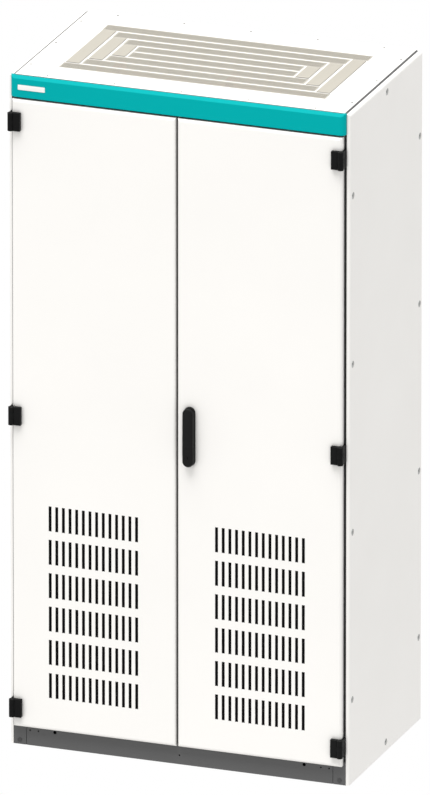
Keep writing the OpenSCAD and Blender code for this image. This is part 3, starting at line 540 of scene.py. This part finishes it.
def make_roof_shade_trim():
    """Dark edge trims in the roof's side and front gaps, put there as painted shade in those gaps, and low
    round caps near its corners.
    """
    (_, y0, z0), (x1, y1, z1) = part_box("roof_plate")
    frame_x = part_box("frame_posts")[1][0]
    side_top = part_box("side_panel_left")[1][2]
    for side, name in ((-1, "left"), (1, "right")):
        # Distance out from the roof plate in mm, and height
        profile = [(0.3, z0 + 0.1 * MM), (5.6, z0 + 0.1 * MM), (5.6, side_top - 0.8 * MM),
                   (5.0, side_top - 0.2 * MM), (1.2, z1 - 0.3 * MM), (0.3, z1 - 0.2 * MM)]
        rings = [[(side * (x1 + off * MM), y, z) for off, z in profile] for y in (y0 + 2 * MM, y1 - 4 * MM)]
        mesh = loft_mesh(f"roof_shade_trim_{name}", rings)
        # dark trim in the side gap: painted shade
        add_piece(mesh.name, mesh, ROOT, "plinth_paint")
    # dark trim in the gap behind the header: painted shade
    front = rounded_outline(-frame_x + 10 * MM, frame_x - 10 * MM, y0 - 2.7 * MM, y0 - 0.3 * MM, 0.8 * MM)
    flat_slab("roof_shade_trim_front", front, z1 - 8 * MM, z1 + 0.8 * MM, 0.8 * MM, "plinth_paint")
    for side, hand in ((-1, "left"), (1, "right")):
        for name, x, y in CAP_PLACES:
            circle = arc(side * x, y, CAP_R, 0, 345, 23)
            flat_slab(f"roof_cap_{name}_{hand}", circle, z1 + 0.02 * MM, z1 + 1.4 * MM, 0.5 * MM,
                      "white_paint")


# ---- Front ------------------------------------------------------------------------------------

HINGE_HALF = 27.5 * MM                # half a hinge's height and 1 mm of room
BEAD_BACK = 0.2 * MM                  # a bead's back and front faces, in front of the post
BEAD_FRONT = 2.6 * MM
BEAD_R = 1.4 * MM


def make_post_shade_beads():
    """Black rubber beads on the front posts beside the doors' outer edges, between the hinges, which also
    stand in for the shade in those gaps: painted shade.
    """
    door_gap = 0.6 * MM
    outer_gap = 0.4 * MM
    end_gap = 1 * MM
    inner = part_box("door_right")[1][0] + door_gap
    (_, front, bottom), (outer, _, _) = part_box("frame_posts")
    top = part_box("header")[0][2]
    hinge_z = [(low + high) / 2 for low, high in stretches("hinge_bases")]
    stops = [bottom + end_gap] + [z + d * HINGE_HALF for z in hinge_z for d in (-1, 1)] + [top - end_gap]
    for side, name in ((-1, "left"), (1, "right")):
        for k, (low, high) in enumerate(zip(stops[::2], stops[1::2])):
            left, right = sorted((side * inner, side * (outer - outer_gap)))
            outline = rounded_outline(left, right, low, high, 1.5 * MM)
            mesh = rounded_slab(f"post_shade_bead_{name}_{k + 1}", outline, BEAD_BACK, BEAD_FRONT, BEAD_R,
                                upright(0, front, 0))
            # black bead in the gap beside the door: painted shade
            add_piece(mesh.name, mesh, ROOT, "seal_rubber")


PLATE_X = (-476 * MM, -395 * MM)
PLATE_Z = (1960 * MM, 1975 * MM)


def make_header_plate():
    """Blank plate near the header's left end, let into the face a little."""
    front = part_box("header")[0][1]
    outline = rounded_outline(*PLATE_X, *PLATE_Z, 1.5 * MM)
    mesh = rounded_slab("header_plate", outline, -0.3 * MM, 0.8 * MM, 0.3 * MM, upright(0, front, 0))
    add_piece(mesh.name, mesh, ROOT, "white_paint")


def make_handle():
    """Swing handle: one smooth stadium, parted in an arc between the lever and its base."""
    (base_x0, _, base_z0), (base_x1, door_y, base_z1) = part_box("handle_base")
    (lever_x0, front_y, lever_z0), (lever_x1, seat_y, _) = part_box("handle_lever")
    (_, _, lock_z0), (_, _, lock_z1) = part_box("lock_cylinder")
    x = (base_x0 + base_x1) / 2
    base_r = (base_x1 - base_x0) / 2
    lever_r = (lever_x1 - lever_x0) / 2
    spindle_z = base_z1 - base_r
    part_r = spindle_z - lever_z0     # radius of the parting arc about the spindle
    part_gap = 0.6 * MM
    spare = 40 * MM                   # how far each half runs past the arc before it is cut there
    past = 1 * MM                     # how far a cutter runs past a face
    round_r = 4.5 * MM

    def stadium(r, low, high):
        return arc(0, high - r, r, 0, 180, 24) + arc(0, low + r, r, 180, 360, 24)

    def along_y(u, v, w):
        return (x + u, w, spindle_z + v)

    def bore(r, z, y0, y1):
        return rod_mesh(r, y0, y1, lambda u, v, w: (x + u, w, z + v))

    thick = seat_y - front_y
    heel = 5.95 * MM                  # cut off the back of the lever's top end, to clear the base when lifted

    def lever_place(u, v, w):
        """The lever gets thinner towards its top end."""
        back = heel * max(0.0, v) / base_r
        ahead = thick - 2.4 * MM * ramp(v, -62 * MM, 10 * MM) - 2.1 * MM * ramp(v, 10 * MM, 16 * MM)
        return (x + u, seat_y - back - w / thick * (ahead - back), spindle_z + v)

    outline = stadium(lever_r, -part_r - spare, lever_r)
    blank = rounded_slab("lever", outline, 0.0, thick, round_r, lever_place, steps=6)
    hub_r = 9.4 * MM                  # hollow round the spindle's hub, for the lever to lean back over
    hub_y = seat_y - 12.4 * MM
    lean_y = seat_y - 7 * MM
    pin_r = 2.05 * MM                 # bore for the pin that the lever is lifted about
    pin_y = seat_y - 5.6 * MM
    pin_end = lever_r - 0.4 * MM
    mesh = carved("handle_lever_smooth", blank, [
        ("INTERSECT", rod_mesh(part_r, front_y - past, seat_y + past, along_y, steps=192)),
        ("DIFFERENCE", box_mesh(x - hub_r, x + hub_r, hub_y, seat_y + past, spindle_z - 13 * MM, spindle_z)),
        ("DIFFERENCE", bore(hub_r, spindle_z, hub_y, seat_y + past)),
        ("DIFFERENCE", bore(hub_r, spindle_z + 1.6 * MM, lean_y, seat_y + past)),
        ("DIFFERENCE", rod_mesh(pin_r, x - pin_end, x + pin_end,
                                lambda u, v, w: (w, pin_y + u, spindle_z + v), steps=32))])
    add_piece(mesh.name, mesh, BODY_OF["handle_lever"], "handle_black", "handle_lever")

    block_t = 24.6 * MM
    plate_t = 8 * MM
    low = base_z0 - spindle_z

    def block_place(u, v, w):
        """The lock block gets thinner towards its foot."""
        ahead = block_t - 2.6 * MM * ramp(-v, part_r, -low)
        return (x + u, door_y - w * ahead / block_t, spindle_z + v)

    plate = rounded_slab("base", stadium(base_r, low, base_r), 0.0, plate_t, 3 * MM,
                         upright(x, door_y, spindle_z))
    narrow = 0.75 * MM                # how far the block stays inside the plate's outline
    outline = stadium(base_r - narrow, low + narrow, -part_r + spare)
    blank = rounded_slab("block", outline, 0.0, block_t, round_r, block_place, steps=6)
    lock_z = (lock_z0 + lock_z1) / 2
    parting = rod_mesh(part_r + part_gap, front_y - past, door_y - plate_t + 2 * MM, along_y, steps=192)
    mesh = carved("handle_base_smooth", blank, [
        ("DIFFERENCE", parting),
        ("UNION", plate),
        ("DIFFERENCE", bore(6.05 * MM, spindle_z, door_y - plate_t - 2 * MM, door_y + past)),
        ("DIFFERENCE", bore(8.05 * MM, lock_z, front_y - past, door_y - 4 * MM))])
    add_piece(mesh.name, mesh, BODY_OF["handle_base"], "handle_black", "handle_base")


def make_filter_mat(side):
    """Filter mat: soft felt, thinner at its pinched edges and a little uneven."""
    node = "filter_mat_" + side
    (x0, y0, z0), (x1, y1, z1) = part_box(node)
    nx = 40
    nz = 80
    thick = (y1 - y0) / 2
    margin = 1 * MM                   # between the mat and its CAD node's sides
    pinch = 22 * MM                   # width of the thinner edge
    flat = 0.35                       # thickness at the very edge, as a part of the full one
    uneven = 0.06
    verts = []
    for face in (-1, 1):
        for k in range(nz + 1):
            for i in range(nx + 1):
                u = i / nx
                v = k / nz
                edge = min(min(u, 1 - u) * (x1 - x0), min(v, 1 - v) * (z1 - z0))
                plump = flat + (1 - flat) * math.sin(min(1.0, edge / pinch) * math.pi / 2)
                swell = 1 - uneven + uneven * noise.noise(Vector((u * 9, face * 3.0, v * 18)))
                verts.append((x0 + margin + u * (x1 - x0 - 2 * margin),
                              (y0 + y1) / 2 + face * thick * plump * swell,
                              z0 + margin + v * (z1 - z0 - 2 * margin)))
    row = nx + 1
    half = row * (nz + 1)
    faces = []
    for k in range(nz):
        for i in range(nx):
            a = k * row + i
            faces.append((a, a + 1, a + row + 1, a + row))
            faces.append((half + a, half + a + row, half + a + row + 1, half + a + 1))
    rim = list(range(row)) + [row * k + nx for k in range(1, nz + 1)]
    rim += [row * nz + i for i in range(nx - 1, -1, -1)] + [row * k for k in range(nz - 1, 0, -1)]
    faces += [(b, a, half + a, half + b) for a, b in zip(rim, rim[1:] + rim[:1])]
    mesh = bpy.data.meshes.new(node + "_felt")
    mesh.from_pydata(verts, [], faces)
    piece = add_piece(node + "_felt", mesh, BODY_OF[node], "filter_felt", node)


# ---- Stage, light and camera -----------------------------------------------------------------

VIEW_AZIMUTH = math.radians(20.36234)
VIEW_ELEVATION = math.radians(19.49406)
VIEW_TARGET = Vector((0.00597, 0.0, 1.00757))
VIEW_HEIGHT = 2.23987
LENS_MM = 1290.0
SENSOR_MM = 36.0
SENSOR_WIDTH_MM = 50.0                # leaves room beside the cabinet for open doors
FILL_STRENGTH = 0.668
SUN_STRENGTH = 3.2
SUN_SPREAD = math.radians(40)
SUN_FROM = Vector((-0.03, -0.30, 0.95))
FLOOR_HALF = 30.0
FLOOR_DROP = 0.5 * MM                 # below the plinth, so that the two don't flicker


def make_camera():
    """Camera at the photograph's angle, far off with a long lens, as the photograph is a parallel view."""
    data = bpy.data.cameras.new("camera")
    data.lens = LENS_MM
    data.sensor_fit = "VERTICAL"
    data.sensor_height = SENSOR_MM
    data.sensor_width = SENSOR_WIDTH_MM
    data.clip_end = 200.0
    camera = bpy.data.objects.new("camera", data)
    bpy.context.scene.collection.objects.link(camera)
    back = Vector((math.sin(VIEW_AZIMUTH) * math.cos(VIEW_ELEVATION),
                   -math.cos(VIEW_AZIMUTH) * math.cos(VIEW_ELEVATION), math.sin(VIEW_ELEVATION)))
    camera.location = VIEW_TARGET + back * (VIEW_HEIGHT * LENS_MM / SENSOR_MM)
    camera.rotation_euler = back.to_track_quat("Z", "Y").to_euler()
    bpy.context.scene.camera = camera


def make_light():
    """Fill from every side, white where the camera sees it, and a soft sun from above and in front."""
    world = bpy.data.worlds.new("studio")
    bpy.context.scene.world = world
    world.use_nodes = True
    tree = world.node_tree
    fill = tree.nodes["Background"]
    fill.inputs["Color"].default_value = (1, 1, 1, 1)
    fill.inputs["Strength"].default_value = FILL_STRENGTH
    seen = tree.nodes.new("ShaderNodeBackground")
    seen.inputs["Strength"].default_value = 1.0
    seen.inputs["Color"].default_value = (1, 1, 1, 1)
    path = tree.nodes.new("ShaderNodeLightPath")
    mix = tree.nodes.new("ShaderNodeMixShader")
    tree.links.new(path.outputs["Is Camera Ray"], mix.inputs[0])
    tree.links.new(fill.outputs[0], mix.inputs[1])
    tree.links.new(seen.outputs[0], mix.inputs[2])
    tree.links.new(mix.outputs[0], tree.nodes["World Output"].inputs["Surface"])
    data = bpy.data.lights.new("sun", "SUN")
    data.energy = SUN_STRENGTH
    data.angle = SUN_SPREAD
    sun = bpy.data.objects.new("sun", data)
    bpy.context.scene.collection.objects.link(sun)
    sun.rotation_euler = SUN_FROM.to_track_quat("Z", "Y").to_euler()


def make_floor():
    """White floor that glows, except under the plinth, where it would light the cabinet from inside."""
    h = FLOOR_HALF
    mesh = bpy.data.meshes.new("floor")
    mesh.from_pydata([(-h, -h, 0), (h, -h, 0), (h, h, 0), (-h, h, 0)], [], [(0, 1, 2, 3)])
    floor = bpy.data.objects.new("floor", mesh)
    bpy.context.scene.collection.objects.link(floor)
    floor.location.z = -FLOOR_DROP
    floor.visible_shadow = False      # so that it doesn't add to the painted shade near it
    n = Nodes("floor")
    n.shader.inputs["Base Color"].default_value = (0, 0, 0, 1)
    n.shader.inputs["Specular IOR Level"].default_value = 0.0
    n.shader.inputs["Emission Color"].default_value = (1, 1, 1, 1)
    (x0, y0, _), (x1, y1, _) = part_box("plinth_corners")
    under = 4 * MM
    axes = n.add("ShaderNodeSeparateXYZ", {0: n.place}).outputs
    outside = []
    for axis, low, high in ((0, x0 + under, x1 - under), (1, y0 + under, y1 - under)):
        away = n.maths("ABSOLUTE", n.maths("SUBTRACT", axes[axis], (low + high) / 2))
        outside.append(n.maths("GREATER_THAN", away, (high - low) / 2))
    n.link(n.maths("MAXIMUM", *outside), "Emission Strength")
    mesh.materials.append(n.material)


make_roof_strips()
make_roof_shade_trim()
make_header_plate()
for side in ("left", "right"):
    make_filter_mat(side)
make_post_shade_beads()
make_handle()
for node, (width, segments, finish) in SOFT_EDGES.items():
    softened(node, width, segments, finish)
make_camera()
make_light()
make_floor()
bpy.context.scene.view_settings.view_transform = "Standard"
